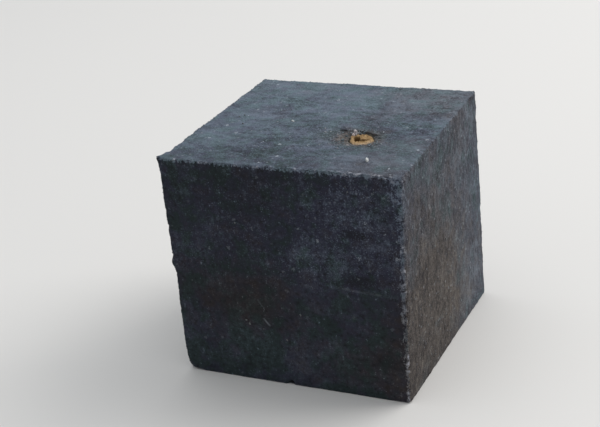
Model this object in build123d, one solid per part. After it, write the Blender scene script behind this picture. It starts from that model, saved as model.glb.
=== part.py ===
from build123d import *

import math
import os
import random

# A rough cube of pressed charcoal for broad drawing, cut square by hand, so no face is quite true.
# It stands on its flat base, +Z up, with the origin at the middle of the base. +X runs to the
# right along the front face and +Y runs to the back. A wooden dowel is set into the top, off
# centre, in a shallow broken rim where loose crumbs lie, and pale grains sit in the black skin.

# Driving dimensions, mm
WIDTH = 78.0
DEPTH = 75.0
HEIGHT = 75.0

# How far each corner stands outside the plain box along X and along Y
TOP_CORNERS = {
    "front_left": (0.3, 0.4),
    "front_right": (0.6, -0.3),
    "back_right": (-0.5, -0.2),
    "back_left": (-0.2, 0.0),
}
BASE_CORNERS = {
    "front_left": (-0.2, 0.0),
    "front_right": (-0.8, -0.1),
    "back_right": (0.5, 0.3),
    "back_left": (0.0, 0.0),
}
SIDES = {"front_left": (-1, -1), "front_right": (1, -1), "back_right": (1, 1), "back_left": (-1, 1)}

# The dowel set into the top
CORE_X = 16.8
CORE_Y = -10.1
CORE_DIAMETER = 8.0
CORE_LENGTH = 40.0
CORE_SUNK = 0.5
CORE_BEVEL = 0.4
GLUE_LINE = 0.05
CORE_TOP = HEIGHT - CORE_SUNK

# The broken rim around the dowel
RIM_TOP_RADIUS = 5.6
RIM_FOOT_RADIUS = 4.3

# Holes in the dowel's end: place from its axis, diameter, depth
NAIL_HOLE = (-1.3, -0.2, 2.1, 9.0)
SPLIT_HOLES = [(0.2, 0.2, 1.2, 1.6), (1.5, 0.0, 0.8, 0.8)]
DRILL_POINT_ANGLE = 59.0

# Crumbs round the rim: angle about the dowel in degrees, distance from its axis, size
RIM_CRUMBS = [
    (20, 5.5, 1.0),
    (62, 5.3, 0.9),
    (100, 5.4, 1.1),
    (137, 4.9, 2.0),
    (165, 5.5, 0.9),
    (200, 5.6, 1.1),
    (225, 6.2, 1.1),
    (249, 6.4, 1.1),
    (290, 6.5, 0.8),
    (313, 6.8, 1.2),
    (345, 6.0, 0.9),
]
CRUMB_SUNK = 0.3

# Pale grains: the few large ones on the top as x, y, size, then how many small ones on each face
LARGE_GRAINS = [(25.6, -28.0, 1.5), (-10.7, -0.2, 1.0), (-20.0, 24.5, 0.9), (30.2, -30.5, 0.9)]
SMALL_GRAINS_ON_TOP = 18
SMALL_GRAINS_ON_SIDE = 13
SMALL_GRAIN_SIZES = (0.45, 0.85)
GRAIN_PROUD = 0.15
EDGE_MARGIN = 0.06
CORE_MARGIN = 8.0

# The worn front right edge, wider at the top than at the base
WORN_TOP = 1.8
WORN_BASE = 0.8


def corner(name, top):
    """A corner of the block, at its top or its base."""
    side_x, side_y = SIDES[name]
    out_x, out_y = (TOP_CORNERS if top else BASE_CORNERS)[name]
    x = side_x * (WIDTH / 2 + out_x)
    y = side_y * (DEPTH / 2 + out_y)
    return Vector(x, y, HEIGHT if top else 0.0)


def outline(top):
    """The flat face at the top or the base, through its four corners."""
    return make_face(Polyline(*[corner(name, top) for name in SIDES], close=True))


def plain_block():
    """The block before its rim, pockets and chips are cut: straight rules join base and top."""
    return loft([outline(False), outline(True)], ruled=True)


def core_axis(height):
    return Pos(CORE_X, CORE_Y, height)


def upright_cone(place, foot_radius, top_radius, height):
    """A cone or a cylinder standing on the place."""
    if foot_radius == top_radius:
        return place * Cylinder(foot_radius, height, align=(Align.CENTER, Align.CENTER, Align.MIN))
    return place * Cone(foot_radius, top_radius, height, align=(Align.CENTER, Align.CENTER, Align.MIN))


def core_socket():
    """What the dowel and its broken rim take out of the block."""
    radius = CORE_DIAMETER / 2 + GLUE_LINE
    bore = upright_cone(core_axis(CORE_TOP - CORE_LENGTH), radius, radius, CORE_LENGTH)
    rim = upright_cone(core_axis(CORE_TOP), RIM_FOOT_RADIUS, RIM_TOP_RADIUS, CORE_SUNK)
    return bore + rim


def end_hole(x, y, diameter, depth):
    """A drilled hole with a pointed bottom, in the top end of the dowel."""
    radius = diameter / 2
    point = min(radius / math.tan(math.radians(DRILL_POINT_ANGLE)), depth / 2)
    shaft = upright_cone(core_axis(CORE_TOP - depth + point) * Pos(x, y, 0), radius, radius, depth)
    tip = upright_cone(core_axis(CORE_TOP - depth) * Pos(x, y, 0), 0.05, radius, point)
    return shaft + tip


def wood_core():
    """The dowel: its lower end is bevelled, and its top end is pierced by a nail hole and splits."""
    radius = CORE_DIAMETER / 2
    core = upright_cone(core_axis(CORE_TOP - CORE_LENGTH), radius, radius, CORE_LENGTH)
    core = chamfer(core.edges().group_by(Axis.Z)[0], CORE_BEVEL)
    for x, y, diameter, depth in [NAIL_HOLE, *SPLIT_HOLES]:
        core -= end_hole(x, y, diameter, depth)
    return core


def lump(place, size, dice):
    """A broken angular lump about the given size, turned at random."""
    turn = Rotation(dice.uniform(0, 90), dice.uniform(0, 90), dice.uniform(0, 90))
    wide, tall = size * dice.uniform(0.6, 0.75), size * dice.uniform(0.5, 0.65)
    return place * turn * Box(size * 0.8, wide, tall)


def rim_crumbs(dice):
    """Crumbs broken from the rim, which lie half sunk in its slope."""
    crumbs = []
    for angle, distance, size in RIM_CRUMBS:
        x = distance * math.cos(math.radians(angle))
        y = distance * math.sin(math.radians(angle))
        crumbs.append(lump(core_axis(HEIGHT - CRUMB_SUNK) * Pos(x, y, 0), size, dice))
    return crumbs


def between(start, end, share):
    return start + (end - start) * share


def on_side(first, second, along, up):
    """A point on the side face between two corners, and the face's direction outward there."""
    low = between(corner(first, False), corner(second, False), along)
    high = between(corner(first, True), corner(second, True), along)
    run = corner(second, False) - corner(first, False)
    return between(low, high, up), run.cross(high - low).normalized()


def pale_grains(dice):
    """Angular grains that show as pale specks, each nearly buried in the face that it lies in."""
    grains = []
    spots = list(LARGE_GRAINS)
    while len(spots) < len(LARGE_GRAINS) + SMALL_GRAINS_ON_TOP:
        x = dice.uniform(-1, 1) * (0.5 - EDGE_MARGIN) * WIDTH
        y = dice.uniform(-1, 1) * (0.5 - EDGE_MARGIN) * DEPTH
        size = dice.uniform(*SMALL_GRAIN_SIZES)
        if math.hypot(x - CORE_X, y - CORE_Y) > CORE_MARGIN:
            spots.append((x, y, size))
    for x, y, size in spots:
        grains.append(lump(Pos(x, y, HEIGHT - GRAIN_PROUD), size, dice))
    names = list(SIDES)
    for first, second in zip(names, names[1:] + names[:1]):
        for _ in range(SMALL_GRAINS_ON_SIDE):
            along, up = (dice.uniform(EDGE_MARGIN, 1 - EDGE_MARGIN) for _ in range(2))
            point, outward = on_side(first, second, along, up)
            size = dice.uniform(*SMALL_GRAIN_SIZES)
            grains.append(lump(Pos(point - outward * GRAIN_PROUD), size, dice))
    return grains


def worn_edge():
    """The wedge that wear has taken off the front right edge."""
    sections = []
    for top, leg in [(False, WORN_BASE), (True, WORN_TOP)]:
        tip = corner("front_right", top)
        reach = leg + 1.0
        points = [tip + Vector(-leg, -1.0, 0), tip + Vector(1.0, leg, 0), tip + Vector(reach, -reach, 0)]
        sections.append(make_face(Polyline(*points, close=True)))
    return loft(sections, ruled=True)


def chips():
    """Bites out of the skin and the edges: a tilted lens or slab for each."""
    base_left = corner("front_left", False)
    top_left = corner("front_left", True)
    front_foot = Vector(-1.4, base_left.Y, 0)
    return [
        # the rounded lower front left corner
        Pos(base_left) * Rotation(0, 0, 45) * Rotation(0, -40, 0) * Box(2.2, 14, 4.4),
        # the hollow in the top left edge
        Pos(top_left.X - 0.6, -22.5, HEIGHT + 0.6) * Rotation(0, 45, 0) * Box(2.6, 15, 2.6),
        # the notch in the foot of the front face
        Pos(front_foot) * Rotation(0, 0, 30) * Box(2.2, 2.2, 2.4),
        # the crack in the top, behind and to the left of the dowel
        Pos(9.2, -4.7, HEIGHT) * Rotation(0, 0, -20) * Box(2.6, 1.0, 1.6),
    ]


def charcoal_block(crumbs, grains):
    """The pressed body, with a pocket for each crumb and grain."""
    return plain_block() - core_socket() - worn_edge() - chips() - crumbs - grains


def main():
    os.makedirs("parts", exist_ok=True)
    crumbs = rim_crumbs(random.Random(11))
    grains = pale_grains(random.Random(7))
    nodes = {
        "charcoal_block": charcoal_block(crumbs, grains),
        "wood_core": wood_core(),
        "rim_crumbs": Compound(children=crumbs),
        "pale_grains": Compound(children=grains),
    }
    for name, shape in nodes.items():
        export_step(shape, f"parts/{name}.step")


main()
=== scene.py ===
import math
import random
from types import SimpleNamespace

import bmesh
import bpy
import numpy as np
from mathutils import Matrix, Quaternion, Vector, noise


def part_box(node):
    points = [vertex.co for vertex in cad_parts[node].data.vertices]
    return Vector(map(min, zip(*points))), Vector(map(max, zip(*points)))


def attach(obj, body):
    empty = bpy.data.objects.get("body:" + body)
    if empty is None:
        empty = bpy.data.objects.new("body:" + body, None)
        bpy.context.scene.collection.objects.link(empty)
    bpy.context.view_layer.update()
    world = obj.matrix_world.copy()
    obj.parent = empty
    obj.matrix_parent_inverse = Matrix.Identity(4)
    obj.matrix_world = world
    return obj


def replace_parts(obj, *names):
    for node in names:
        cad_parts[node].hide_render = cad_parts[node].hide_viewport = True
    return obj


# A rough cube of pressed charcoal with a wooden dowel set in its top, standing on a pale floor.
# Shapes are worked out in millimetres in the CAD's frame, and become metres as meshes are made.
# The skin is shaped about the block's middle, and moved to its place at the end.

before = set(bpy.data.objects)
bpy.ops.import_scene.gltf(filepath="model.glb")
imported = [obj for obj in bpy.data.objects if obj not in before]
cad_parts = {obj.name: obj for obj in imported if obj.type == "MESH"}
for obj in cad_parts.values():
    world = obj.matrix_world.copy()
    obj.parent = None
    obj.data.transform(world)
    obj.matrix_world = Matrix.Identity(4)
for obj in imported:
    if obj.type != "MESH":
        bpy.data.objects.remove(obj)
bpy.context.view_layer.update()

MM = 0.001


def box_in_mm(node):
    """The lowest and highest corners of a CAD node, as arrays in millimetres."""
    low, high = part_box(node)
    return np.array(low) / MM, np.array(high) / MM


LOW, HIGH = box_in_mm("charcoal_block")
HALF = (HIGH - LOW) / 2
MIDDLE = (HIGH + LOW) / 2
TOP = HIGH[2]

CORE_LOW, CORE_HIGH = box_in_mm("wood_core")
CORE_RADIUS = (CORE_HIGH[0] - CORE_LOW[0]) / 2
CORE_CENTRE = (CORE_HIGH + CORE_LOW)[:2] / 2
CORE_TOP = CORE_HIGH[2]
CORE_FOOT = CORE_LOW[2]
CORE_SUNK = TOP - CORE_TOP

# ---------------- small tools


def smooth(value, low, high):
    """0 below low, 1 above high, and a smooth rise between them."""
    share = np.clip((value - low) / (high - low), 0, 1)
    return share * share * (3 - 2 * share)


def bump(value, centre, reach):
    """1 at the centre, fading smoothly to 0 on both sides."""
    return np.exp(-(((value - centre) / reach) ** 2))


def blob(points, centre, reach):
    """1 at the centre, fading to 0 over the reach along each axis."""
    return np.exp(-(((points - np.array(centre)) / np.array(reach)) ** 2).sum(axis=1))


def areas(points, table):
    """The sum of soft spots, each given by its centre, its reach and how much it adds there."""
    return sum(amount * blob(points, centre, reach) for centre, reach, amount in table)


# How many features apart the noises of two neighbouring seeds are read
SEED_SHIFT = 17.31


def ripple(points, size, seed):
    """Smooth noise between about -1 and 1 at each point, with features about that size."""
    places = points / size + SEED_SHIFT * seed
    return np.array([noise.noise(place) for place in places.tolist()])


def put_in_scene(name, data):
    """A new object in the scene, made of a mesh, a light or a camera."""
    thing = bpy.data.objects.new(name, data)
    bpy.context.scene.collection.objects.link(thing)
    return thing


def make_piece(name, points, faces, material, shares=None):
    """A mesh piece from points in millimetres, with named values on its points."""
    mesh = bpy.data.meshes.new(name)
    mesh.from_pydata((np.asarray(points) * MM).tolist(), [], faces)
    for key, values in (shares or {}).items():
        layer = mesh.attributes.new(key, "FLOAT", "POINT")
        layer.data.foreach_set("value", np.asarray(values, np.float32))
    mesh.polygons.foreach_set("use_smooth", [True] * len(mesh.polygons))
    mesh.materials.append(material)
    piece = put_in_scene(name, mesh)
    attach(piece, "root")
    return piece


# ---------------- materials


class Nodes:
    """A short way to write a node material: each call adds a node and returns its output."""

    def __init__(self, name):
        self.material = bpy.data.materials.new(name)
        self.material.use_nodes = True
        self.tree = self.material.node_tree
        self.shader = self.tree.nodes["Principled BSDF"]
        self.place = self.add("ShaderNodeTexCoord").outputs["Object"]

    def add(self, kind, **settings):
        node = self.tree.nodes.new(kind)
        for key, value in settings.items():
            setattr(node, key, value)
        return node

    def feed(self, socket, value):
        """Links an output to a socket, or sets the socket to a plain value."""
        if isinstance(value, bpy.types.NodeSocket):
            self.tree.links.new(value, socket)
        else:
            socket.default_value = value

    def share(self, key):
        """A value kept on the mesh's points."""
        return self.add("ShaderNodeAttribute", attribute_name=key).outputs["Fac"]

    def vector(self, operation, first, second=(0, 0, 0), output=0):
        node = self.add("ShaderNodeVectorMath", operation=operation)
        self.feed(node.inputs[0], first)
        self.feed(node.inputs[1], second)
        return node.outputs[output]

    def stretch(self, sizes):
        """Object coordinates counted in features of those sizes in mm."""
        return self.vector("MULTIPLY", self.place, [1 / (size * MM) for size in sizes])

    def texture(self, sizes, detail, rough=0.5, twist=0.0):
        """A noise texture with features of those sizes in mm."""
        node = self.add("ShaderNodeTexNoise")
        self.feed(node.inputs["Vector"], self.stretch(sizes))
        settings = {"Scale": 1.0, "Detail": detail, "Roughness": rough, "Distortion": twist}
        for key, value in settings.items():
            node.inputs[key].default_value = value
        return node

    def clouds(self, sizes, detail=3.0, rough=0.55, twist=0.0):
        """Soft noise about 0: most of it lies between -0.3 and 0.3."""
        return self.calc("SUBTRACT", self.texture(sizes, detail, rough, twist).outputs["Fac"], 0.5)

    def wobble(self, size, amount):
        """Random vectors up to about half that amount long, which change over that size in mm."""
        colour = self.texture((size, size, size), 1.0).outputs["Color"]
        centred = self.vector("SUBTRACT", colour, (0.5, 0.5, 0.5))
        return self.vector("MULTIPLY", centred, (amount, amount, amount))

    def cells(self, size, ragged=0.0):
        """The distance from the nearest cell's centre, plain or ragged, and two random numbers."""
        place = self.stretch((size, size, size))
        if ragged:
            place = self.vector("ADD", place, self.wobble(size / 5, ragged))
        node = self.add("ShaderNodeTexVoronoi")
        self.feed(node.inputs["Vector"], place)
        node.inputs["Scale"].default_value = 1.0
        parts = self.add("ShaderNodeSeparateColor")
        self.feed(parts.inputs[0], node.outputs["Color"])
        return node.outputs["Distance"], parts.outputs[0], parts.outputs[1]

    def calc(self, operation, first, second=0.0, third=0.0):
        node = self.add("ShaderNodeMath", operation=operation)
        for socket, value in zip(node.inputs, (first, second, third)):
            self.feed(socket, value)
        return node.outputs[0]

    def times(self, first, second):
        return self.calc("MULTIPLY", first, second)

    def pile(self, start, *layers):
        """A start value plus each layer times its weight."""
        for layer, weight in layers:
            start = self.calc("MULTIPLY_ADD", layer, weight, start)
        return start

    def ramp(self, value, low=0.0, high=1.0, out_low=0.0, out_high=1.0):
        """Carries the stretch from low to high over to out_low to out_high, smoothly and clamped."""
        node = self.add("ShaderNodeMapRange", interpolation_type="SMOOTHSTEP")
        for socket, given in zip(node.inputs, (value, low, high, out_low, out_high)):
            self.feed(socket, given)
        return node.outputs[0]

    def mix(self, share, first, second):
        """Goes from the first colour to the second as the share goes from 0 to 1."""
        node = self.add("ShaderNodeMix", data_type="RGBA")
        self.feed(node.inputs["Factor"], share)
        # inputs 6 and 7 and output 2 are the ones that carry colours
        for socket, colour in zip(node.inputs[6:8], (first, second)):
            self.feed(socket, colour if isinstance(colour, bpy.types.NodeSocket) else (*colour, 1.0))
        return node.outputs[2]

    def scratch(self, start, end, width):
        """1 along a straight scratch on the front face, from start to end as X and Z in mm."""
        flat = self.vector("MULTIPLY", self.place, (1, 0, 1))
        start, end = (Vector((point[0], 0, point[1])) * MM for point in (start, end))
        run = end - start
        from_start = self.vector("SUBTRACT", flat, start)
        along = self.vector("DOT_PRODUCT", from_start, run / run.length_squared, output="Value")
        nearest = self.add("ShaderNodeVectorMath", operation="SCALE")
        nearest.inputs[0].default_value = run
        self.feed(nearest.inputs["Scale"], self.calc("MINIMUM", self.calc("MAXIMUM", along, 0.0), 1.0))
        away = self.vector("SUBTRACT", from_start, nearest.outputs[0])
        return self.ramp(self.vector("LENGTH", away, output="Value"), 0.0, width * MM, 1.0, 0.0)

    def relief(self, height, depth, normal=None):
        """A bump whose height of 1 is that depth in mm."""
        node = self.add("ShaderNodeBump")
        node.inputs["Strength"].default_value = 1.0
        node.inputs["Distance"].default_value = depth * MM
        self.feed(node.inputs["Height"], height)
        if normal is not None:
            self.feed(node.inputs["Normal"], normal)
        return node.outputs[0]

    def finish(self, colour, roughness, normal, specular):
        self.feed(self.shader.inputs["Base Color"], colour)
        self.feed(self.shader.inputs["Roughness"], roughness)
        self.feed(self.shader.inputs["Normal"], normal)
        self.shader.inputs["Specular IOR Level"].default_value = specular
        return self.material


COAL_DEEP = (0.010, 0.011, 0.013)
COAL_GREEN = (0.018, 0.027, 0.028)
COAL_VIOLET = (0.025, 0.026, 0.044)
COAL_BROWN = (0.029, 0.0235, 0.0235)
DUST_TEAL = (0.130, 0.177, 0.209)
DUST_BLUE = (0.136, 0.166, 0.216)
DUST_WARM = (0.156, 0.139, 0.124)
CHALK = (0.32, 0.33, 0.37)
SPECK = (0.37, 0.41, 0.455)
# The black of the painted shade in the rim's steep back wall, the crack and the notch
HOLLOW_SHADE_BLACK = (0.012, 0.010, 0.008)
COAL_SPECULAR = 0.12

# What the mesh says at each point: how thick, mottled, warm, violet and streaked the dust is there, its
# thickness also carrying painted light, how near a worn edge is, and how much painted shade darkens it in the
# rim's back wall, crack and notch
COAL_SHARES = ("dust", "mottle", "warm", "violet", "streak", "worn", "hollow")

# The noises in the charcoal: feature sizes in mm along X, Y and Z, detail, roughness, twist
COAL_NOISES = {
    "fine": ((0.45, 0.45, 0.40), 2.0, 0.7),
    "pores": ((0.8, 0.8, 0.8), 2.0, 0.6),
    "grain": ((1.5, 1.3, 1.4), 3.0, 0.6),
    "patches": ((10.0, 8.0, 8.0), 4.0, 0.6),
    "tints": ((11.0, 11.0, 11.0), 3.0, 0.6, 0.5),
    "small_tints": ((4.0, 4.0, 4.0), 2.0, 0.6),
    "upright": ((0.95, 0.95, 3.6), 3.0, 0.6),
    "smears": ((5.5, 2.2, 3.0), 3.0, 0.6, 0.4),
}

# Scratches on the front face: both ends as X and Z in mm, width, strength
SCRATCHES = [
    ((17.6, 37.3), (30.7, 36.4), 0.7, 0.10),
    ((-9.0, 22.8), (-7.2, 20.6), 0.5, 0.30),
    ((-10.4, 29.4), (-9.2, 27.4), 0.4, 0.12),
]

# Chalky specks: spacing in mm, share of cells left bare, largest radius in cells, strength
SPECKS = [(3.1, 0.55, 0.20, 0.9), (1.9, 0.4, 0.26, 0.28), (1.7, 0.45, 0.25, 0.42)]
SPECK_RAGGED = 0.6
PIT_SPACING = 0.8


def coal_fields(n):
    """The mesh's shares and the noises by name, and the hue: 0 is green or teal, 1 violet or blue."""
    shares = {key: n.share(key) for key in COAL_SHARES}
    noises = {key: n.clouds(*settings) for key, settings in COAL_NOISES.items()}
    f = SimpleNamespace(**shares, **noises)
    f.hue = n.ramp(n.pile(f.violet, (f.tints, 3.0), (f.small_tints, 2.6)))
    return f


def bare_coal(n, f):
    """The charcoal's own black: green, violet or brown, and deepest under thin dust and in the grain."""
    brown = n.ramp(n.pile(f.warm, (f.tints, 0.8), (f.small_tints, 1.7)))
    black = n.mix(brown, n.mix(f.hue, COAL_GREEN, COAL_VIOLET), COAL_BROWN)
    black = n.mix(n.ramp(f.dust, 0.0, 0.16, 0.6, 0.0), black, COAL_DEEP)
    return n.mix(n.ramp(f.grain, -0.25, 0.0, 0.8, 0.0), black, COAL_DEEP)


def dust_grey(n, f):
    """The dust's colour: teal, blue or a warm grey."""
    warmth = n.pile(f.warm, (n.times(f.tints, f.warm), 1.8), (f.small_tints, 0.4))
    return n.mix(n.ramp(warmth), n.mix(f.hue, DUST_TEAL, DUST_BLUE), DUST_WARM)


def dust_layer(n, f):
    """How far the thin dust on the faces hides the black: blotches with sharp flecks and shallow dips."""
    lines = n.pile(f.smears, (f.streak, f.upright))
    soft = n.pile(0.0, (f.patches, 0.95), (lines, 0.70), (f.grain, 0.6))
    flecks, holes = n.ramp(f.fine, 0.08, 0.2), n.ramp(f.pores, 0.10, 0.22)
    sharp = n.pile(0.0, (f.fine, 0.9), (flecks, 0.52), (holes, -0.18))
    rough = n.pile(soft, (sharp, f.mottle))
    rough = n.calc("MAXIMUM", rough, n.times(rough, 0.65))
    return n.ramp(n.pile(f.dust, (rough, f.mottle)), 0.06, 1.0)


def edge_crust(n, f):
    """How far the pale, crumbly band along a worn edge hides the black."""
    band = n.pile(f.worn, (f.upright, 1.7), (f.grain, 1.5), (f.fine, 1.4))
    crumbly = n.ramp(n.pile(f.grain, (f.fine, 1.0)), -0.2, 0.2, 0.3, 1.0)
    return n.times(n.ramp(band, 0.42, 0.66, 0.0, 0.85), crumbly)


def chalky_teeth(n, f):
    """1 on the chalky teeth that stand out of the pale band, which come in groups."""
    teeth = n.times(n.ramp(f.worn, 0.4, 0.75), n.ramp(n.pile(f.grain, (f.upright, 1.2)), 0.0, 0.18))
    return n.times(teeth, n.ramp(f.small_tints, -0.04, 0.1, 0.1, 1.0))


def with_specks(n, f, colour):
    """Adds chalky specks of several sizes, which are fainter where the dust is thin or smooth."""
    strong = n.times(n.ramp(f.mottle, 0.4, 1.15, 0.2, 1.0), n.ramp(f.dust, 0.0, 0.5, 0.25, 1.0))
    for spacing, bare, radius, strength in SPECKS:
        distance, chance, tone = n.cells(spacing, SPECK_RAGGED)
        reach = n.ramp(chance, bare, 1.0, 0.0, radius)
        dot = n.ramp(n.calc("SUBTRACT", reach, distance), -0.03, 0.07, 0.0, strength)
        dot = n.times(n.times(dot, n.ramp(tone, 0.1, 1.0, 0.25, 1.0)), strong)
        colour = n.mix(dot, colour, SPECK)
    return colour


def with_scratches(n, f, colour):
    """Adds the scratches on the front face, which the grain breaks up."""
    broken = n.ramp(f.grain, -0.15, 0.1, 0.3, 1.0)
    for start, end, width, strength in SCRATCHES:
        line = n.times(n.scratch(start, end, width), broken)
        colour = n.mix(n.times(line, strength), colour, SPECK)
    return colour


def coal_relief(n, f):
    """The skin's bumps, one on the other, each with its depth in mm."""
    distance, _, _ = n.cells(PIT_SPACING)
    pits = n.ramp(distance, 0.0, 0.45)
    normal = None
    for height, depth in [(f.fine, 0.12), (f.grain, 0.25), (pits, 0.05), (f.upright, 0.16)]:
        normal = n.relief(height, depth, normal)
    return normal


def charcoal_material():
    """Black charcoal under grey dust, with fine grain, pits, pale specks and scratches, and painted shade in
    its hollows.
    """
    n = Nodes("charcoal")
    f = coal_fields(n)
    cover = n.calc("MAXIMUM", dust_layer(n, f), edge_crust(n, f))
    colour = n.mix(cover, bare_coal(n, f), dust_grey(n, f))
    colour = n.mix(chalky_teeth(n, f), colour, CHALK)
    colour = with_scratches(n, f, with_specks(n, f, colour))
    # painted shade: the rim's steep back wall, the crack and the notch are darkened towards black
    colour = n.mix(f.hollow, colour, HOLLOW_SHADE_BLACK)
    roughness = n.ramp(cover, out_low=0.7, out_high=0.95)
    return n.finish(colour, roughness, coal_relief(n, f), COAL_SPECULAR)


WOOD_DARK = (0.23, 0.142, 0.062)
WOOD_LIGHT = (0.41, 0.275, 0.138)
WOOD_RING = (0.20, 0.120, 0.045)
WOOD_BLEACHED = (0.47, 0.36, 0.26)
WOOD_FIBRE = (0.52, 0.40, 0.25)
WOOD_GAP = (0.19, 0.115, 0.045)
# The dark of the soot and painted shade on the dowel end's rim
WOOD_SOOT_AND_SHADE = (0.050, 0.043, 0.030)
# The dark brown of the painted shade in the dowel end's hollows
WOOD_HOLLOW_SHADE = (0.125, 0.066, 0.022)


def wood_material():
    """Raw tan wood seen on its sawn end: coarse torn fibres, with painted shade in its hollows and soot and
    painted shade at its rim.
    """
    n = Nodes("core_wood")
    hollow, soot_and_shade, bleach = n.share("hollow"), n.share("soot_and_shade"), n.share("bleach")
    fibres = n.clouds((0.28, 0.28, 1.6), detail=3.0, rough=0.7)
    blotch = n.clouds((1.4, 1.4, 3.0), detail=3.0, rough=0.6)
    rings = n.clouds((0.6, 5.0, 12.0), detail=2.0, rough=0.5, twist=0.6)
    colour = n.mix(n.ramp(blotch, -0.15, 0.15), WOOD_DARK, WOOD_LIGHT)
    colour = n.mix(n.ramp(rings, -0.05, 0.2, 0.0, 0.5), colour, WOOD_RING)
    colour = n.mix(n.times(bleach, 0.7), colour, WOOD_BLEACHED)
    colour = n.mix(n.ramp(fibres, 0.0, 0.25, 0.0, 0.6), colour, WOOD_FIBRE)
    colour = n.mix(n.ramp(fibres, -0.25, -0.05, 0.6, 0.0), colour, WOOD_GAP)
    # soot and painted shade darken the end's rim, most at its back right
    darkening = n.ramp(n.pile(soot_and_shade, (fibres, 1.4), (blotch, 1.0)), 0.35, 0.75)
    colour = n.mix(darkening, colour, WOOD_SOOT_AND_SHADE)
    # painted shade, deepest in the deepest hollows and round their mouths
    colour = n.mix(n.ramp(hollow, 0.05, 1.0), colour, WOOD_HOLLOW_SHADE)
    return n.finish(colour, n.ramp(fibres, -0.3, 0.3, 0.7, 0.9), n.relief(fibres, 0.22), 0.15)


# The colours of broken mineral, dark and pale, and how glossy it is
CRUMB_STONE = ((0.07, 0.067, 0.065), (0.66, 0.58, 0.57), 0.3)
GRAIN_STONE = ((0.10, 0.105, 0.105), (0.66, 0.67, 0.66), 0.5)


def stone_material(name, dark, pale, specular):
    """Broken mineral, finely mottled. Each lump's own shade is dark at 0, dusty at 0.5, pale at 1."""
    n = Nodes(name)
    own = n.share("shade")
    mottle = n.clouds((0.3, 0.3, 0.3), detail=3.0, rough=0.65)
    colour = n.mix(n.ramp(own, 0.0, 0.5), dark, DUST_TEAL)
    colour = n.mix(n.ramp(own, 0.5, 1.0), colour, pale)
    colour = n.mix(n.ramp(mottle, -0.15, 0.25, 0.0, 0.45), colour, dark)
    return n.finish(colour, n.ramp(mottle, -0.2, 0.2, 0.45, 0.8), n.relief(mottle, 0.08), specular)


def floor_material():
    """A plain pale floor."""
    n = Nodes("floor")
    grain = n.clouds((1.5, 1.5, 1.5))
    return n.finish((0.72, 0.71, 0.69, 1.0), 0.6, n.relief(grain, 0.01), 0.3)


# ---------------- the block's skin

# Sides of the block, as an axis and a sign, and where they are, in mm from its middle
LEFT, RIGHT, FRONT, BACK, ROOF = (0, -1), (0, 1), (1, -1), (1, 1), (2, 1)
LEFT_X, RIGHT_X, FRONT_Y, FOOT_Z, ROOF_Z = -HALF[0], HALF[0], -HALF[1], -HALF[2], HALF[2]

# How far each corner stands inside the CAD box along X and Y, in mm
CORNER_INSETS = {
    (-1, -1, 1): (0.0, 0.0),
    (1, -1, 1): (0.0, 0.7),
    (1, 1, 1): (1.1, 0.5),
    (-1, 1, 1): (0.5, 0.3),
    (-1, -1, -1): (0.5, 0.4),
    (1, -1, -1): (1.4, 0.5),
    (1, 1, -1): (0.1, 0.0),
    (-1, 1, -1): (0.3, 0.3),
}

EDGE_STEP = 0.16
STEP_GROWTH = 1.3
COARSE_STEP = 0.68
SPOT_REACH = 8.0
SPOT_STEP = 0.32
FOOT_STRIDE = 4
SOCKET_RADIUS = CORE_RADIUS + 0.06
SOCKET_ROOM = 0.4

# The crack in the top behind the dowel, and the notch in the foot of the front face
CRACK = np.array([9.2, -4.7, TOP]) - MIDDLE
CRACK_REACH = (1.4, 0.8, 9.0)
CRACK_DEPTH = 1.6
NOTCH = np.array([-1.4, LOW[1], LOW[2]]) - MIDDLE
NOTCH_REACH = (1.0, 1.6, 1.4)
NOTCH_DEPTH = 2.0


def lines_between(start, end, edge_at_start, edge_at_end):
    """Places of grid lines from start to end, closer together at an end that is an edge."""
    steps = []
    while not steps or steps[-1] < COARSE_STEP:
        steps.append(EDGE_STEP * STEP_GROWTH ** len(steps))
    ramp = np.concatenate([[0.0], np.cumsum(steps)])
    head = start + (ramp if edge_at_start else ramp[:1])
    tail = end - (ramp if edge_at_end else ramp[:1])[::-1]
    count = math.ceil((tail[0] - head[-1]) / COARSE_STEP)
    return np.concatenate([head, np.linspace(head[-1], tail[0], count + 1)[1:-1], tail])


def lines_past_core(half, centre):
    """Grid lines across the block, evenly fine around the dowel."""
    count = round(2 * SPOT_REACH / SPOT_STEP)
    around = centre + np.linspace(-SPOT_REACH, SPOT_REACH, count + 1)
    before = lines_between(-half, around[0], True, False)
    after = lines_between(around[-1], half, False, True)
    return np.concatenate([before[:-1], around, after[1:]])


def box_skin(lines):
    """Points and faces of a closed box with the given grid lines along X, Y and Z.

    The foot rests on the floor, so it has one face for several cells of the grid.
    """
    count = [len(line) for line in lines]
    on_skin = np.zeros(count, bool)
    for axis in range(3):
        for end in (0, -1):
            np.moveaxis(on_skin, axis, 0)[end] = True
    kept_x, kept_y = ([*range(0, size - 1, FOOT_STRIDE), size - 1] for size in count[:2])
    on_skin[1:-1, 1:-1, 0] = False
    on_skin[np.ix_(kept_x, kept_y, [0])] = True
    index = np.full(count, -1)
    index[on_skin] = np.arange(on_skin.sum())
    points = np.stack(np.meshgrid(*lines, indexing="ij"), axis=-1)[on_skin]
    faces = []
    for axis in range(3):
        for end in (0, -1):
            if (axis, end) == (2, 0):
                continue
            sheet = np.moveaxis(index, axis, 0)[end]
            quads = np.stack([sheet[:-1, :-1], sheet[1:, :-1], sheet[1:, 1:], sheet[:-1, 1:]], -1)
            quads = quads.reshape(-1, 4)
            inside_out = (end == 0) != (axis == 1)
            faces += (quads[:, ::-1] if inside_out else quads).tolist()
    faces += foot_faces(index[:, :, 0], kept_x, kept_y)
    return points, faces


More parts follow.
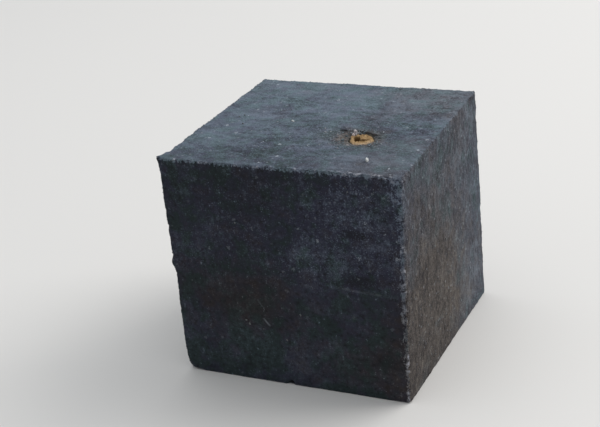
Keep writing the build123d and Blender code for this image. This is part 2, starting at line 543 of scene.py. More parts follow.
def foot_faces(sheet, kept_x, kept_y):
    """The foot's large faces, which take in every grid point on the block's edges."""
    faces = []
    for left, right in zip(kept_x, kept_x[1:]):
        for front, back in zip(kept_y, kept_y[1:]):
            ring = [(left, j) for j in range(front, back)]
            ring += [(i, back) for i in range(left, right)]
            ring += [(right, j) for j in range(back, front, -1)]
            ring += [(i, front) for i in range(right, left, -1)]
            face = [sheet[place] for place in ring]
            faces.append([int(point) for point in face if point >= 0])
    return faces


# How far from a side its edges' wear and dust begin to show, and where they show in full, in mm
EDGE_FADE = (6, 1)

LEAST_WEAR = 0.12

# Corners that are more or less worn: place and reach in mm, and how much
WORN_CORNERS = [
    ((LEFT_X, FRONT_Y, FOOT_Z), (4.0, 4.0, 3.0), 1.6),
    ((RIGHT_X, FRONT_Y, ROOF_Z), (5.0, 5.0, 4.0), 0.5),
    ((LEFT_X, FRONT_Y, ROOF_Z), (3.0, 3.0, 3.0), -0.25),
]


def at_edge(p, *sides):
    """1 on the edge or corner where the given sides of the block meet, fading to 0 away from it."""
    far, near = EDGE_FADE
    share = np.ones(len(p))
    for axis, sign in sides:
        share *= smooth(sign * p[:, axis], HALF[axis] - far, HALF[axis] - near)
    return share


def edge_wear(p):
    """How round the block's edges and corners are worn at each point, in mm."""
    x, y, z = p.T
    up = (z + HALF[2]) / (2 * HALF[2])
    wear = 0.30 + 0.12 * (1 + ripple(p, 4.0, 1)) + 0.08 * ripple(p, 1.3, 2)
    # the front right edge, most at its top, and stretches of the front, left and right top edges
    wear += at_edge(p, RIGHT, FRONT) * (0.4 + up)
    wear += at_edge(p, FRONT, ROOF) * 0.7 * bump(x, -6, 9)
    wear += at_edge(p, LEFT, ROOF) * 1.2 * bump(y, -22.5, 6.5)
    wear += at_edge(p, RIGHT, ROOF) * 0.5 * smooth(-y, 5, 35)
    wear += areas(p, WORN_CORNERS)
    return np.maximum(wear, LEAST_WEAR)


def rounded(p):
    """The box with worn edges, and the direction outward at each point."""
    wear = edge_wear(p)[:, None]
    core = np.clip(p, wear - HALF, HALF - wear)
    out = p - core
    out /= np.linalg.norm(out, axis=1)[:, None]
    return core + out * wear, out


def around_core(p):
    """Draws the square grid rings about the dowel into round ones, on the top face.

    Also gives each point its ring's radius and its angle about the dowel.
    """
    on_top = p[:, 2] > HALF[2] - 1e-6
    away = p[:, :2] - (CORE_CENTRE - MIDDLE[:2])
    ring = np.abs(away).max(axis=1)
    radius = np.maximum(np.linalg.norm(away, axis=1), 1e-9)
    roundness = 1 - smooth(ring, 0.78 * SPOT_REACH, SPOT_REACH)
    scale = np.where(on_top, 1 - roundness * (1 - ring / radius), 1.0)
    wall = on_top & (ring > SOCKET_RADIUS - SPOT_STEP) & (ring < SOCKET_RADIUS)
    snap = np.where(wall, SOCKET_RADIUS / np.maximum(ring, 1e-9), 1.0)
    moved = p.copy()
    moved[:, :2] += away * (scale * snap - 1)[:, None]
    ring = np.where(on_top, ring, np.inf)
    return moved, ring, np.arctan2(away[:, 1], away[:, 0])


def towards(angle, degrees, reach):
    """1 in that direction from the dowel's axis, fading to 0 at the reach to both sides of it."""
    return smooth(np.cos(angle - math.radians(degrees)), math.cos(math.radians(reach)), 1.0)


# The broken rim: its steep back's angle about the dowel, its reach from the axis at its gentle and at
# its steep side, and a bay in its back as angle, half width and reach
STEEP_ANGLE = 92
GENTLE_SHORE, STEEP_SHORE = 7.6, 4.7
BAY_ANGLE, BAY_WIDTH, BAY_REACH = 128, 45, 1.5
FAR_OFF = 99


def steepness(angle):
    """1 where the broken rim ends in a steep wall, at its back, and 0 at its gentle front left."""
    return smooth(np.cos(angle - math.radians(STEEP_ANGLE)), 0.3, 0.75)


def rim_shore(angle):
    """How far from the dowel's axis the broken rim reaches, in mm."""
    steep = steepness(angle)
    bay = BAY_REACH * steep * towards(angle, BAY_ANGLE, BAY_WIDTH)
    return GENTLE_SHORE - (GENTLE_SHORE - STEEP_SHORE) * steep + bay


def rim_depth(p, ring, angle):
    """How deep the broken rim and the dowel's socket lie below the top, in mm."""
    steep, shore = steepness(angle), rim_shore(angle)
    ragged = np.minimum(ring, FAR_OFF) + 0.5 * ripple(p, 1.7, 21) + 0.3 * ripple(p, 0.8, 22)
    foot = CORE_SUNK * (1.4 - 0.45 * steep)
    slope_start = CORE_RADIUS + 0.05 + steep * np.maximum(shore - 0.6 - CORE_RADIUS, 0)
    slope = 1 - smooth(ragged, slope_start, shore)
    # broken lumps all round the rim, largest at its front right, and a lip along its steep back
    rough = smooth(ragged, 10.5, 5.5)
    lumps = rough * (0.14 * ripple(p, 1.0, 23) + 0.12 * ripple(p, 0.6, 24))
    lumps += 0.40 * rough * towards(angle, 318, 40) * smooth(ragged, 4.2, 5.5) * ripple(p, 0.9, 25)
    lip = 0.15 * steep * bump(ragged, shore + 0.2, 0.7)
    socket = (ring < SOCKET_RADIUS) * (TOP - CORE_FOOT + SOCKET_ROOM)
    return slope * foot - lumps - lip + socket


def skewed(p):
    """Moves the box's corners to where the CAD block has them: no face is quite square."""
    share = (p + HALF) / (2 * HALF)
    moved = p.copy()
    for signs, inset in CORNER_INSETS.items():
        weight = np.ones(len(p))
        for axis, sign in enumerate(signs):
            weight *= share[:, axis] if sign > 0 else 1 - share[:, axis]
        moved[:, 0] -= signs[0] * inset[0] * weight
        moved[:, 1] -= signs[1] * inset[1] * weight
    return moved


# Waves and grain of the skin: size and height in mm, seed
SKIN_WAVES = [(24.0, 0.30, 3), (7.0, 0.14, 4), (2.4, 0.11, 5), (1.2, 0.07, 6)]

# Draws the streaks in the sides out along Z
STREAK_SQUEEZE = np.array([1, 1, 0.22])

# The bump half way up the front left edge and the hollows below it: level, reach and height in mm
LEFT_EDGE_SHAPE = [(1.5, 1.5, 0.80), (-2.5, 3.0, -0.25), (-8.0, 4.0, -0.15)]

# Chips and bumps in the skin: place, reach and height in mm
SKIN_SPOTS = [
    ((LEFT_X, -31.0, ROOF_Z), (2.5, 2.2, 2.5), -0.5),
    ((LEFT_X, FRONT_Y, ROOF_Z), (1.6, 1.6, 1.6), 0.5),
    (NOTCH, NOTCH_REACH, -NOTCH_DEPTH),
    (CRACK, CRACK_REACH, -CRACK_DEPTH),
]

# How far from an edge its torn skin reaches, in mm
TORN_REACH = 0.55


def on_sides(out):
    """1 on the block's upright sides, fading to 0 where the skin turns to the top or the foot."""
    return 1 - smooth(np.abs(out[:, 2]), 0.4, 0.9)


def torn_height(box, left):
    """How deeply the skin is torn at an edge, in mm: most along the front and left top edges."""
    left_top = at_edge(box, LEFT, ROOF) * smooth(-box[:, 1], 8, 20)
    torn = 0.14 + 0.07 * left * smooth(-box[:, 2], -34, -28)
    return torn + (0.26 * at_edge(box, FRONT, ROOF) + 0.3 * left_top) * (1 - left)


def skin_height(box, out, edge, ring):
    """How far the rough skin stands off the plain rounded block, in mm."""
    height = sum(tall * ripple(box, size, seed) for size, tall, seed in SKIN_WAVES)
    height += on_sides(out) * 0.08 * ripple(box * STREAK_SQUEEZE, 1.3, 7)
    left = at_edge(box, LEFT, FRONT)
    ragged = ripple(box, 2.2, 8) + ripple(box, 1.05, 9) + 0.1
    height += np.exp(-edge / TORN_REACH) * torn_height(box, left) * ragged
    height += left * sum(tall * bump(box[:, 2], level, reach) for level, reach, tall in LEFT_EDGE_SHAPE)
    height += areas(box, SKIN_SPOTS)
    # the broken rim has a roughness of its own, and nothing stands below the foot
    height *= 1 - 0.7 * smooth(-ring, -7.5, -5.0)
    foot = smooth(-out[:, 2], 0.2, 0.8)
    return height * (1 - foot) - foot * 0.25 * np.abs(height)


def shape_skin():
    """The whole outside of the block, broken edges and socket included, before it has a material."""
    to_core = CORE_CENTRE - MIDDLE[:2]
    lines = [
        lines_past_core(HALF[0], to_core[0]),
        lines_past_core(HALF[1], to_core[1]),
        lines_between(-HALF[2], HALF[2], True, True),
    ]
    box, faces = box_skin(lines)
    box, ring, angle = around_core(box)
    edge = np.sort(HALF - np.abs(box), axis=1)[:, 1]
    p, out = rounded(box)
    p += out * skin_height(box, out, edge, ring)[:, None]
    sunk = rim_depth(box, ring, angle)
    in_rim = ring < SPOT_REACH * 1.4
    p[:, 2] -= np.where(in_rim, sunk, 0)
    p[:, 2] = np.maximum(p[:, 2], -HALF[2])

    in_crack = smooth(blob(box, CRACK, CRACK_REACH), 0.15, 0.35)
    in_notch = smooth(blob(box, NOTCH, NOTCH_REACH), 0.4, 0.7)
    in_shade = bump(ring, rim_shore(angle) - 0.25, 0.4) * steepness(angle)
    shares = {
        "dust": dust_and_face_light_on(box, out, ring),
        "mottle": mottle_on(box, out),
        "warm": warmth_on(box, out, ring),
        "violet": violet_on(box, out),
        "streak": streak_on(out),
        "worn": worn_on(box, out, edge),
        # painted shade where the rim's steep back wall, the crack and the notch lie in shadow
        "hollow": np.clip(0.85 * in_shade + 0.95 * in_crack + 0.8 * in_notch, 0, 1),
    }
    return {"points": skewed(p) + MIDDLE, "faces": faces, "out": out, "edge": edge, "shares": shares}


def facing(out, *sides):
    """How far each point belongs to each of the given sides of the block."""
    return [smooth(sign * out[:, axis], 0.5, 0.9) for axis, sign in sides]


# How far a spot on one face reaches off it, and so past its edges, in mm
SPOT_DEPTH = 9.0


def on_front(x, z, reach_x, reach_z, amount):
    return (x, FRONT_Y, z), (reach_x, SPOT_DEPTH, reach_z), amount


def on_right(y, z, reach_y, reach_z, amount):
    return (RIGHT_X, y, z), (SPOT_DEPTH, reach_y, reach_z), amount


def on_roof(x, y, reach_x, reach_y, amount):
    return (x, y, ROOF_Z), (reach_x, reach_y, SPOT_DEPTH), amount


# Where the dust lies thicker or thinner: place from the block's middle and reach in mm, and how much
DUST_AREAS = [
    on_front(-30, 12, 7, 12, 0.05),
    on_front(-26, 28, 16, 14, -0.04),
    on_front(-9, 28, 8, 10, -0.05),
    on_front(-20, -8, 18, 10, -0.04),
    on_front(0, -28, 40, 10, 0.09),
    on_front(24, 18, 5, 2, -0.26),
    on_front(25, 2.8, 6, 2.2, -0.26),
    on_front(32, -24, 8, 4, -0.12),
    on_front(18, 34, 16, 2.6, -0.12),
    on_front(12, -1, 9, 1.2, 0.07),
    on_roof(-31, -10, 9, 12, 0.13),
    on_roof(32, 30, 10, 12, -0.06),
    on_roof(28, -30, 12, 8, 0.06),
    on_roof(29.5, -2, 11, 6, -0.18),
    on_roof(30, 12, 12, 12, -0.07),
    on_roof(10, -34, 30, 6, -0.03),
    on_roof(-8, -10, 11, 10, -0.14),
    on_roof(-22, -27, 13, 5, -0.11),
    on_roof(-2, -27, 18, 7, -0.08),
    on_roof(-8, 30, 26, 10, 0.10),
    on_roof(-5, 30, 6, 3.5, 0.10),
    on_right(18, -26, 14, 14, 0.18),
    on_right(-26, 0, 20, 20, -0.06),
]

# The rough brownish patch on the top, to the left of the dowel
BROKEN_PATCH = (7, -9.5, 7, 5)

# In the same way, where the dust is more or less mottled, warm and violet
MOTTLE_AREAS = [on_roof(*BROKEN_PATCH, 0.4), on_front(28, 18, 14, 18, 0.08)]
WARM_AREAS = [
    on_roof(*BROKEN_PATCH, 0.35),
    on_roof(29, 0, 10, 8, -0.30),
    on_right(-16, -20, 26, 28, 0.75),
    on_right(28, 0, 12, 26, -0.10),
    on_front(-14, -8, 20, 11, 0.60),
    on_front(26, -28, 16, 12, 0.35),
]
VIOLET_AREAS = [on_front(19, 18, 20, 19, 0.5), on_front(-22, -24, 18, 14, -0.25)]


def dust_and_face_light_on(p, out, ring):
    """How much grey dust lies on each point: most on the top, least on the front. Part of that is painted
    light: the top is lighter in place of its sheen and the front darker in place of its shade.
    """
    front, right, top = facing(out, FRONT, RIGHT, ROOF)
    x, y, z = (p / HALF).T
    # painted light: the top gets more and the front less, for the light on the top and the shade on the front
    dust = 0.46 + top * (0.135 + 0.09 * y) - front * 0.325 + right * (0.05 * y - 0.055)
    dust += sum(facing(out, BACK, LEFT)) * (0.12 * ripple(p, 20.0, 34) - 0.13)
    dust += front * 0.085 * smooth(x, 0.0, 0.3) * smooth(z, -0.14, 0.1)
    dust -= 0.06 * smooth(-ring, -9.0, -6.0)
    return np.clip(dust + areas(p, DUST_AREAS), 0, 1)


def streak_on(out):
    """How far the dust runs in upright streaks: not at all on the top, most on the right side."""
    front, right = facing(out, FRONT, RIGHT)
    return on_sides(out) * (1 - 0.2 * front + 0.3 * right)


def mottle_on(p, out):
    """How strongly the dust is mottled: the front is smooth low down and rougher at the top right."""
    front, right, top = facing(out, FRONT, RIGHT, ROOF)
    x, y, z = (p / HALF).T
    upper = smooth(z, -0.14, 0.1)
    mottle = 1.0 + 0.12 * right + top * (0.26 + 0.36 * y)
    mottle -= front * (0.48 - 0.18 * upper - 0.17 * upper * smooth(x, 0.0, 0.3))
    return mottle + areas(p, MOTTLE_AREAS)


def warmth_on(p, out, ring):
    """How far the dust leans from blue-grey to brown-grey."""
    right, top = facing(out, RIGHT, ROOF)
    x, y, z = p.T
    warm = 0.05 + 0.33 * right + 0.10 * ripple(p, 14.0, 33)
    warm += sum(facing(out, BACK, LEFT)) * (0.30 + 0.4 * ripple(p, 26.0, 35))
    # the top's right half and back, and close round the dowel
    warm += top * (0.20 * smooth(x, 0, 25) + 0.08 * smooth(y, 5, 30) + 0.45 * smooth(-ring, -9.0, -5.5))
    warm += at_edge(p, RIGHT, FRONT) * 0.10 * smooth(-z, -30, -15)
    return np.clip(warm + areas(p, WARM_AREAS), 0, 1)


def violet_on(p, out):
    """How far the black and the dust lean from green to violet."""
    [right] = facing(out, RIGHT)
    return 0.5 + 0.2 * right + 0.3 * at_edge(p, RIGHT, FRONT) + areas(p, VIOLET_AREAS)


# How wide the pale bands of worn edges are, in mm. The front right one has its width at the foot,
# its even growth up to the top, and its flare there
PLAIN_BAND, BAND_BELOW_TOP, BAND_ON_TOP = 0.45, 0.85, 0.9
RIGHT_BAND = (0.9, 0.8, 2.2)


def worn_on(p, out, edge):
    """How near a worn edge each point is: 1 on the edge, and 0.5 where its pale band ends.

    The front top edge has a band on each side, the front right edge one that is wider at its top,
    and the front left edge none.
    """
    front, right, top = facing(out, FRONT, RIGHT, ROOF)
    from_top, from_front, from_right = HALF[2] - p[:, 2], HALF[1] + p[:, 1], HALF[0] - p[:, 0]
    up = 1 - from_top / (2 * HALF[2])
    plain = 1 - 0.5 * edge / PLAIN_BAND
    plain -= at_edge(p, LEFT, FRONT) + smooth(-p[:, 2], HALF[2] - 6, HALF[2])
    plain -= 0.4 * at_edge(p, RIGHT, ROOF)
    below_top = 1 - 0.5 * from_top / BAND_BELOW_TOP
    on_top = 1 - 0.5 * from_front / BAND_ON_TOP
    foot, growth, flare = RIGHT_BAND
    right_band = foot + growth * up + flare * smooth(up, 0.86, 1.0)
    beside_right = 1 - 0.5 * np.maximum(from_right, 1.6 * from_front) / right_band
    bands = [plain, front * below_top, top * on_top, np.maximum(front, right) * beside_right]
    return np.clip(np.max(bands, axis=0), 0, 1)


# ---------------- the dowel

CORE_SEGMENTS = 160
CORE_RINGS = 40
CORE_TILT = 0.06
CORE_BEVEL = 0.4

# Levels of rings down the dowel's side, in mm below its end, and how many follow at even steps
SIDE_LEVELS = (-0.9, -1.6, -3.0, -6.0)
EVEN_LEVELS = 8

# Fine ribs down the side: how many, how far they lie in and how high they are, in mm
RIBS = (24, 0.03, 0.02)

# Hollows in the dowel's end: both ends of each slot from the dowel's axis, half its width, depth
CORE_HOLLOWS = [
    ((-1.1, -0.7), (-2.0, 1.2), 0.95, 2.2),
    ((-0.9, -0.3), (0.7, -0.2), 0.80, 1.7),
    ((1.4, -0.1), (1.6, 0.1), 0.45, 0.45),
]
# The depth in mm at which the painted shade in the hollows is darkest
DARKEST_DEPTH = 2.4

# Darker sides of the dowel's end, painted shade at the back right below the rim's steep wall and a darker
# front left: each one's direction from the axis, how far it spreads to both sides, strength
DARKER_SIDES = [(48, 55, 0.5), (206, 50, 0.35)]


def slot_distance(points, start, end):
    """How far each point is from the straight line between two places, in plan."""
    start, end = np.array(start), np.array(end)
    run = end - start
    along = np.clip(((points[:, :2] - start) @ run) / (run @ run), 0, 1)
    return np.linalg.norm(points[:, :2] - start - along[:, None] * run, axis=1)


def torn_end(circle):
    """The points of the dowel's sawn end, ring by ring, and what its material is told there."""
    rings = [circle * CORE_RADIUS * (i + 1) / CORE_RINGS for i in range(CORE_RINGS)]
    end = np.concatenate([np.zeros((1, 3)), *rings])
    radius = np.linalg.norm(end, axis=1)
    angle = np.arctan2(end[:, 1], end[:, 0])
    rim = smooth(radius, CORE_RADIUS - 0.8, CORE_RADIUS)

    wander = 1 + 0.3 * ripple(end, 0.9, 41)
    depth = np.zeros(len(end))
    mouth_shade = np.zeros(len(end))
    for begin, finish, mouth, deep in CORE_HOLLOWS:
        away = slot_distance(end, begin, finish) * wander
        depth = np.maximum(depth, deep * (1 - smooth(away, 0.6 * mouth, 1.1 * mouth)))
        # painted shade spills a little way out round each hollow's mouth
        mouth_shade = np.maximum(mouth_shade, 0.3 * (1 - smooth(away, 0.9 * mouth, mouth + 0.6)))
    # darker sides: painted shade at the back right below the rim's steep wall, and a darker front left
    darkening = sum(strength * towards(angle, side, spread) for side, spread, strength in DARKER_SIDES)
    # a dark ring round the end's rim: soot, with the painted shade of the darker sides added
    rim_soot_and_shade = rim * (0.35 + darkening + 0.35 * ripple(end, 1.6, 45))
    shares = {
        # painted shade in the hollows, growing with their depth
        "hollow": np.clip(depth / DARKEST_DEPTH + mouth_shade, 0, 1),
        "soot_and_shade": rim_soot_and_shade + darkening * smooth(radius, 1.5, 4.0),
        "bleach": smooth(radius, 2.2, 3.6) * towards(angle, -64, 75),
    }

    torn = 0.18 * ripple(end, 0.9, 42) + 0.16 * ripple(end, 0.4, 43)
    fray = 0.40 * rim * (0.2 + ripple(end, 1.0, 44))
    end[:, :2] *= (1 + rim * (0.01 + 0.05 * ripple(end, 1.3, 46)))[:, None]
    end[:, 2] = torn + CORE_TILT * end[:, 1] - depth - fray
    return end, shares


def side_rings(circle, turns):
    """The rings of points down the dowel's finely ribbed side, to its bevelled foot."""
    foot_level = CORE_FOOT - CORE_TOP
    even = np.linspace(SIDE_LEVELS[-1], foot_level + CORE_BEVEL, EVEN_LEVELS)
    count, inset, height = RIBS
    ribbed = circle * (CORE_RADIUS - inset + height * np.sin(turns * count)[:, None])
    rings = [ribbed + np.array([0, 0, level]) for level in (*SIDE_LEVELS[:-1], *even)]
    rings.append(circle * (CORE_RADIUS - CORE_BEVEL) + np.array([0, 0, foot_level]))
    return rings


def dowel_faces(ring_count):
    """Triangles round the middle of the end, quads from each ring to the next, and the flat foot."""
    faces = [[0, 1 + i, 1 + (i + 1) % CORE_SEGMENTS] for i in range(CORE_SEGMENTS)]
    for ring in range(ring_count - 1):
        start = 1 + ring * CORE_SEGMENTS
        for i in range(CORE_SEGMENTS):
            j = (i + 1) % CORE_SEGMENTS
            faces.append([start + i, start + CORE_SEGMENTS + i, start + CORE_SEGMENTS + j, start + j])
    last = 1 + (ring_count - 1) * CORE_SEGMENTS
    faces.append([last + i for i in reversed(range(CORE_SEGMENTS))])
    return faces


def dowel(material):
    """The wooden dowel. Its sawn end is torn into fibres and has a nail hole and two splits."""
    turns = np.arange(CORE_SEGMENTS) * math.tau / CORE_SEGMENTS
    circle = np.stack([np.cos(turns), np.sin(turns), np.zeros(CORE_SEGMENTS)], -1)
    end, shares = torn_end(circle)
    side = side_rings(circle, turns)
    points = np.concatenate([end, *side]) + np.array([*CORE_CENTRE, CORE_TOP])
    plain_side = np.zeros(len(points) - len(end))
    shares = {key: np.concatenate([values, plain_side]) for key, values in shares.items()}
    faces = dowel_faces(CORE_RINGS + len(side))
    return make_piece("dowel", points, faces, material, shares)


# ---------------- grains, crumbs and burrs


def islands(node):
    """The centre and size in mm of each separate solid in a CAD node, from left to right."""
    mesh = bmesh.new()
    mesh.from_mesh(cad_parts[node].data)
    bmesh.ops.remove_doubles(mesh, verts=mesh.verts, dist=1e-6)
    left = set(mesh.verts)
    found = []
    while left:
        group, edge = set(), [left.pop()]
        while edge:
            vert = edge.pop()
            group.add(vert)
            for link in vert.link_edges:
                other = link.other_vert(vert)
                if other in left:
                    left.discard(other)
                    edge.append(other)
        spots = np.array([vert.co for vert in group]) / MM
        found.append((spots.mean(axis=0), np.linalg.norm(spots.max(axis=0) - spots.min(axis=0))))
    mesh.free()
    return sorted(found, key=lambda item: item[0].round(3).tolist())


def ball(divisions):
    """Points and triangles of a unit ball."""
    mesh = bmesh.new()
    bmesh.ops.create_icosphere(mesh, subdivisions=divisions, radius=1.0)
    points = np.array([vert.co for vert in mesh.verts])
    faces = [[vert.index for vert in face.verts] for face in mesh.faces]
    mesh.free()
    return points, faces


def random_turn(dice):
    return np.array(Quaternion([dice.gauss(0, 1) for _ in range(4)]).normalized().to_matrix())


def broken_ball(shape, flats, rough, dice):
    """The unit ball with flat sides sliced off, flattened and dented at random."""
    points = shape.copy()
    for _ in range(flats):
        side = np.array([dice.gauss(0, 1) for _ in range(3)])
        side /= np.linalg.norm(side)
        over = np.maximum(points @ side - dice.uniform(0.45, 0.8), 0)
        points = points - side * over[:, None]
    points = points * np.array([1.0, dice.uniform(0.6, 0.9), dice.uniform(0.5, 0.8)])
    return points * (1 + rough * ripple(points, 0.5, dice.uniform(1, 90)))[:, None]


def lump(shape, flats, rough, reach, centre, dice):
    """A broken ball turned at random, with that reach in mm, or one along each axis, from a centre."""
    return broken_ball(shape, flats, rough, dice) @ random_turn(dice).T * reach + centre


def join_lumps(name, lumps, shape_faces, material):
    """One piece from many lumps: each is its points and the values that hold all over it."""
    points, faces = [], []
    for spots, _ in lumps:
        first = len(points) * len(spots)
        points.append(spots)
        faces += [[first + corner for corner in face] for face in shape_faces]
    count = len(lumps[0][0])
    shares = {key: np.repeat([values[key] for _, values in lumps], count) for key in lumps[0][1]}
    return make_piece(name, np.concatenate(points), faces, material, shares)


# How a lump is broken: how many flat sides it has, and how rough it is
CRUMB_BREAK = (7, 0.45)
GRAIN_BREAK = (7, 0.25)
FLAKE_BREAK = (3, 0.4)

# The whitish crumbs at the rim, by their angle about the dowel. The big one is a heap of bits, given
# by place from its centre, size and shade.
PALE_CRUMB_ANGLES = (136, 250)
PALE_CRUMB_WIDTH = 8
PALE_CRUMB_SHADE = 0.8
BIG_CRUMB_SIZE = 2.3
CRUMB_BITS = [
    ((0.0, -1.0, 0.1), 1.5, 1.0),
    ((0.2, 0.4, 0.4), 1.9, 0.8),
    ((1.1, 0.3, 0.3), 1.3, 0.7),
    ((-0.9, -0.2, 0.3), 1.1, 0.65),
    ((0.8, -0.5, 0.3), 0.9, 0.75),
    ((-0.4, 1.0, 0.2), 0.9, 0.6),
    ((1.7, 0.6, 0.2), 0.7, 0.5),
]

# Loose bits strewn over the rim: angles about the dowel from and to, distances, how many, paleness
STREWN_BITS = [
    (306, 336, 6.2, 9.6, 34, (0.25, 0.65)),
    (150, 265, 5.5, 11.0, 44, (0.2, 0.72)),
    (85, 125, 5.8, 7.4, 12, (0.15, 0.6)),
    (5, 45, 4.3, 5.8, 4, (0.1, 0.3)),
    (0, 360, 4.6, 8.0, 12, (0.1, 0.3)),
    (155, 220, 7.5, 16.0, 24, (0.5, 0.8)),
]
STREWN_SIZES = (0.3, 0.8)


def nearest_point(points, spot):
    """The point of the skin that is nearest to a spot."""
    return points[np.argmin(np.linalg.norm(points - spot, axis=1))]


def large_crumbs(dice):
    """The CAD's crumbs, each as its centre, size in mm and shade."""
    bits = []
    for centre, size in islands("rim_crumbs"):
        angle = math.degrees(math.atan2(*(centre[:2] - CORE_CENTRE)[::-1])) % 360
        pale = min(abs(angle - each) for each in PALE_CRUMB_ANGLES) < PALE_CRUMB_WIDTH
        if pale and size > BIG_CRUMB_SIZE:
            bits += [(centre + np.array(offset), wide, shade) for offset, wide, shade in CRUMB_BITS]
        elif pale:
            bits.append((centre, size * 0.62, PALE_CRUMB_SHADE))
        else:
            bits.append((centre, size * 0.8, dice.uniform(0.1, 0.4)))
    return bits


def strewn_bits(skin, dice):
    """Small bits that lie loose on the rim, in the same form."""
    bits = []
    for first, last, near, far, count, shades in STREWN_BITS:
        for _ in range(count):
            turn, away = math.radians(dice.uniform(first, last)), dice.uniform(near, far)
            spot = CORE_CENTRE + away * np.array([math.cos(turn), math.sin(turn)])
            centre = nearest_point(skin["points"], [*spot, TOP]) + [0, 0, 0.05]
            bits.append((centre, dice.uniform(*STREWN_SIZES), dice.uniform(*shades)))
    return bits


def rim_crumbs(skin, material):
    """The crumbs at the rim, where the CAD has them, and small bits strewn between them."""
    dice = random.Random(5)
    shape, shape_faces = ball(3)
    lumps = []
    for centre, size, shade in large_crumbs(dice) + strewn_bits(skin, dice):
        lumps.append((lump(shape, *CRUMB_BREAK, size / 2, centre, dice), {"shade": shade}))
    return join_lumps("rim_crumb_lumps", lumps, shape_faces, material)


# The largest grain stands on end out of the top: its stretch along X, Y and Z, and its rise in mm
UPRIGHT_STRETCH = np.array([-0.6, -0.25, 0.85])
UPRIGHT_RISE = np.array([0.0, 0.0, 0.5])


def pale_grains(material):
    """The pale grains, where the CAD has them: sooty on the sides, whiter with size on the top."""
    dice = random.Random(6)
    shape, shape_faces = ball(3)
    lumps = []
    for centre, size in islands("pale_grains"):
        on_top = centre[2] > TOP - 1
        whiteness = 0.65 * float(smooth(size, 1.3, 1.8))
        shade = dice.uniform(0.05, 0.35) + whiteness if on_top else dice.uniform(0.0, 0.12)
        upright = float(smooth(size, 2.0, 2.6))
        reach = size * 0.4 * (1 + upright * UPRIGHT_STRETCH)
        spots = lump(shape, *GRAIN_BREAK, reach, centre + upright * UPRIGHT_RISE, dice)
        lumps.append((spots, {"shade": shade}))
    return join_lumps("pale_grain_lumps", lumps, shape_faces, material)


# What the charcoal material is told about burrs, apart from their dust
BURR_SHARES = {"mottle": 1.0, "warm": 0.2, "violet": 0.5, "streak": 0.0, "worn": 0.0, "hollow": 0.0}
BURR_COUNT = 1300
BURR_REACH = 0.6
BURR_SIZES = (0.2, 0.6)
BURR_FLOOR = 2.5

# Teeth below the front top edge: their span along X, steps, widths and heights in mm, and one size
# for their thickness and how far below the top they are rooted
FRINGE_SPAN = (LOW[0] + 2.0, HIGH[0] - 3.0)
FRINGE_STEPS = (0.7, 2.6)
FRINGE_WIDTHS = (0.35, 0.8)
FRINGE_HEIGHTS = (0.5, 1.3)
FRINGE_DEPTH = 0.35


def edge_burrs(skin, material):
    """Flakes and torn crumbs along the block's edges, each rooted in the skin."""
    dice = random.Random(8)
    shape, shape_faces = ball(2)
    points, out, edge = skin["points"], skin["out"], skin["edge"]
    near = np.flatnonzero((edge < BURR_REACH) & (points[:, 2] > BURR_FLOOR))
    lumps = []
    for _ in range(BURR_COUNT):
        root = near[dice.randrange(len(near))]
        size = dice.uniform(*BURR_SIZES)
        centre = points[root] - out[root] * size * dice.uniform(0.05, 0.25)
        spots = lump(shape, *FLAKE_BREAK, size / 2, centre, dice)
        at_top = points[root, 2] > TOP - 1.5
        dust = dice.uniform(0.4, 0.8) if at_top else dice.uniform(0.15, 0.55)
        lumps.append((spots, {"dust": dust, **BURR_SHARES}))
    lumps += fringe(points, shape, dice)
    return join_lumps("edge_burrs", lumps, shape_faces, material)


def fringe(points, shape, dice):
    """Dusty teeth that hang from the front top edge over the dark front."""
    lumps = []
    x, end = FRINGE_SPAN
    while x < end:
        tall = dice.uniform(*FRINGE_HEIGHTS)
        root = nearest_point(points, [x, LOW[1], TOP - FRINGE_DEPTH])
        size = np.array([dice.uniform(*FRINGE_WIDTHS), FRINGE_DEPTH, tall])
        hang = np.array([0, 0.04, -0.25 * tall])
        spots = broken_ball(shape, *FLAKE_BREAK, dice) * size * 0.6 + root + hang
        lumps.append((spots, {"dust": dice.uniform(0.6, 1.0), **BURR_SHARES}))
        x += dice.uniform(*FRINGE_STEPS)
    return lumps


# ---------------- floor, light and camera

# In block heights, from the middle of the block's foot
CAMERA_PLACE = (2.105, -4.600, 2.852)
CAMERA_AZIMUTH = 26.14
CAMERA_TILT = 24.08
CAMERA_ROLL = -5.44
CAMERA_LENS = 76.07


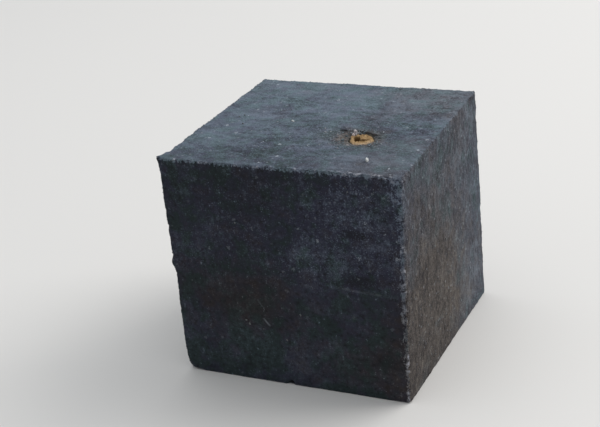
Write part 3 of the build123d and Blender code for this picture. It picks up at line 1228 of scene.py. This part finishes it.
def camera():
    """A camera turned to its azimuth from the back's direction, tilted down and rolled, in degrees."""
    data = bpy.data.cameras.new("camera")
    data.lens = CAMERA_LENS
    data.sensor_width = 36.0
    data.clip_start = 0.01
    data.clip_end = 50.0
    azimuth, tilt = math.radians(CAMERA_AZIMUTH), math.radians(CAMERA_TILT)
    ahead = Vector((-math.sin(azimuth) * math.cos(tilt), math.cos(azimuth) * math.cos(tilt), -math.sin(tilt)))
    turn = ahead.to_track_quat("-Z", "Y") @ Quaternion((0, 0, 1), math.radians(CAMERA_ROLL))
    eye = put_in_scene("camera", data)
    eye.matrix_world = Matrix.Translation(Vector(CAMERA_PLACE) * TOP * MM) @ turn.to_matrix().to_4x4()
    bpy.context.scene.camera = eye


def softbox(name, place, size, watts, colour):
    """A square light at a place in metres, aimed at the middle of the block."""
    data = bpy.data.lights.new(name, "AREA")
    data.shape = "SQUARE"
    data.size = size
    data.energy = watts
    data.color = colour
    light = put_in_scene(name, data)
    aim = Vector((0, 0, TOP * MM / 2)) - Vector(place)
    light.matrix_world = Matrix.Translation(place) @ aim.to_track_quat("-Z", "Y").to_matrix().to_4x4()


FLOOR_REACH = 4.0
SKY_COLOUR = (0.93, 0.96, 1.0, 1.0)
SKY_STRENGTH = 0.48


def floor():
    """The plain floor that the block stands on, which isn't part of it."""
    corners = [(x * FLOOR_REACH, y * FLOOR_REACH, 0) for x, y in [(-1, -1), (1, -1), (1, 1), (-1, 1)]]
    mesh = bpy.data.meshes.new("floor")
    mesh.from_pydata(corners, [], [(0, 1, 2, 3)])
    mesh.materials.append(floor_material())
    put_in_scene("floor", mesh)


def studio():
    """A soft sky all round, a large window light at the back right and one overhead."""
    world = bpy.data.worlds.new("studio")
    world.use_nodes = True
    background = world.node_tree.nodes["Background"]
    background.inputs["Color"].default_value = SKY_COLOUR
    background.inputs["Strength"].default_value = SKY_STRENGTH
    bpy.context.scene.world = world
    softbox("window", (1.0, 0.9, 1.2), 1.3, 22.0, (1.0, 0.98, 0.96))
    softbox("ceiling", (-0.2, 0.2, 1.7), 1.6, 10.0, (0.98, 0.99, 1.0))
    bpy.context.scene.view_settings.view_transform = "Standard"


# ---------------- everything together

coal = charcoal_material()
skin = shape_skin()
skin_piece = make_piece("charcoal_skin", skin["points"], skin["faces"], coal, skin["shares"])
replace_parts(skin_piece, "charcoal_block")
edge_burrs(skin, coal)
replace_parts(dowel(wood_material()), "wood_core")
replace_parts(rim_crumbs(skin, stone_material("crumb", *CRUMB_STONE)), "rim_crumbs")
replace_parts(pale_grains(stone_material("grain", *GRAIN_STONE)), "pale_grains")
floor()
studio()
camera()
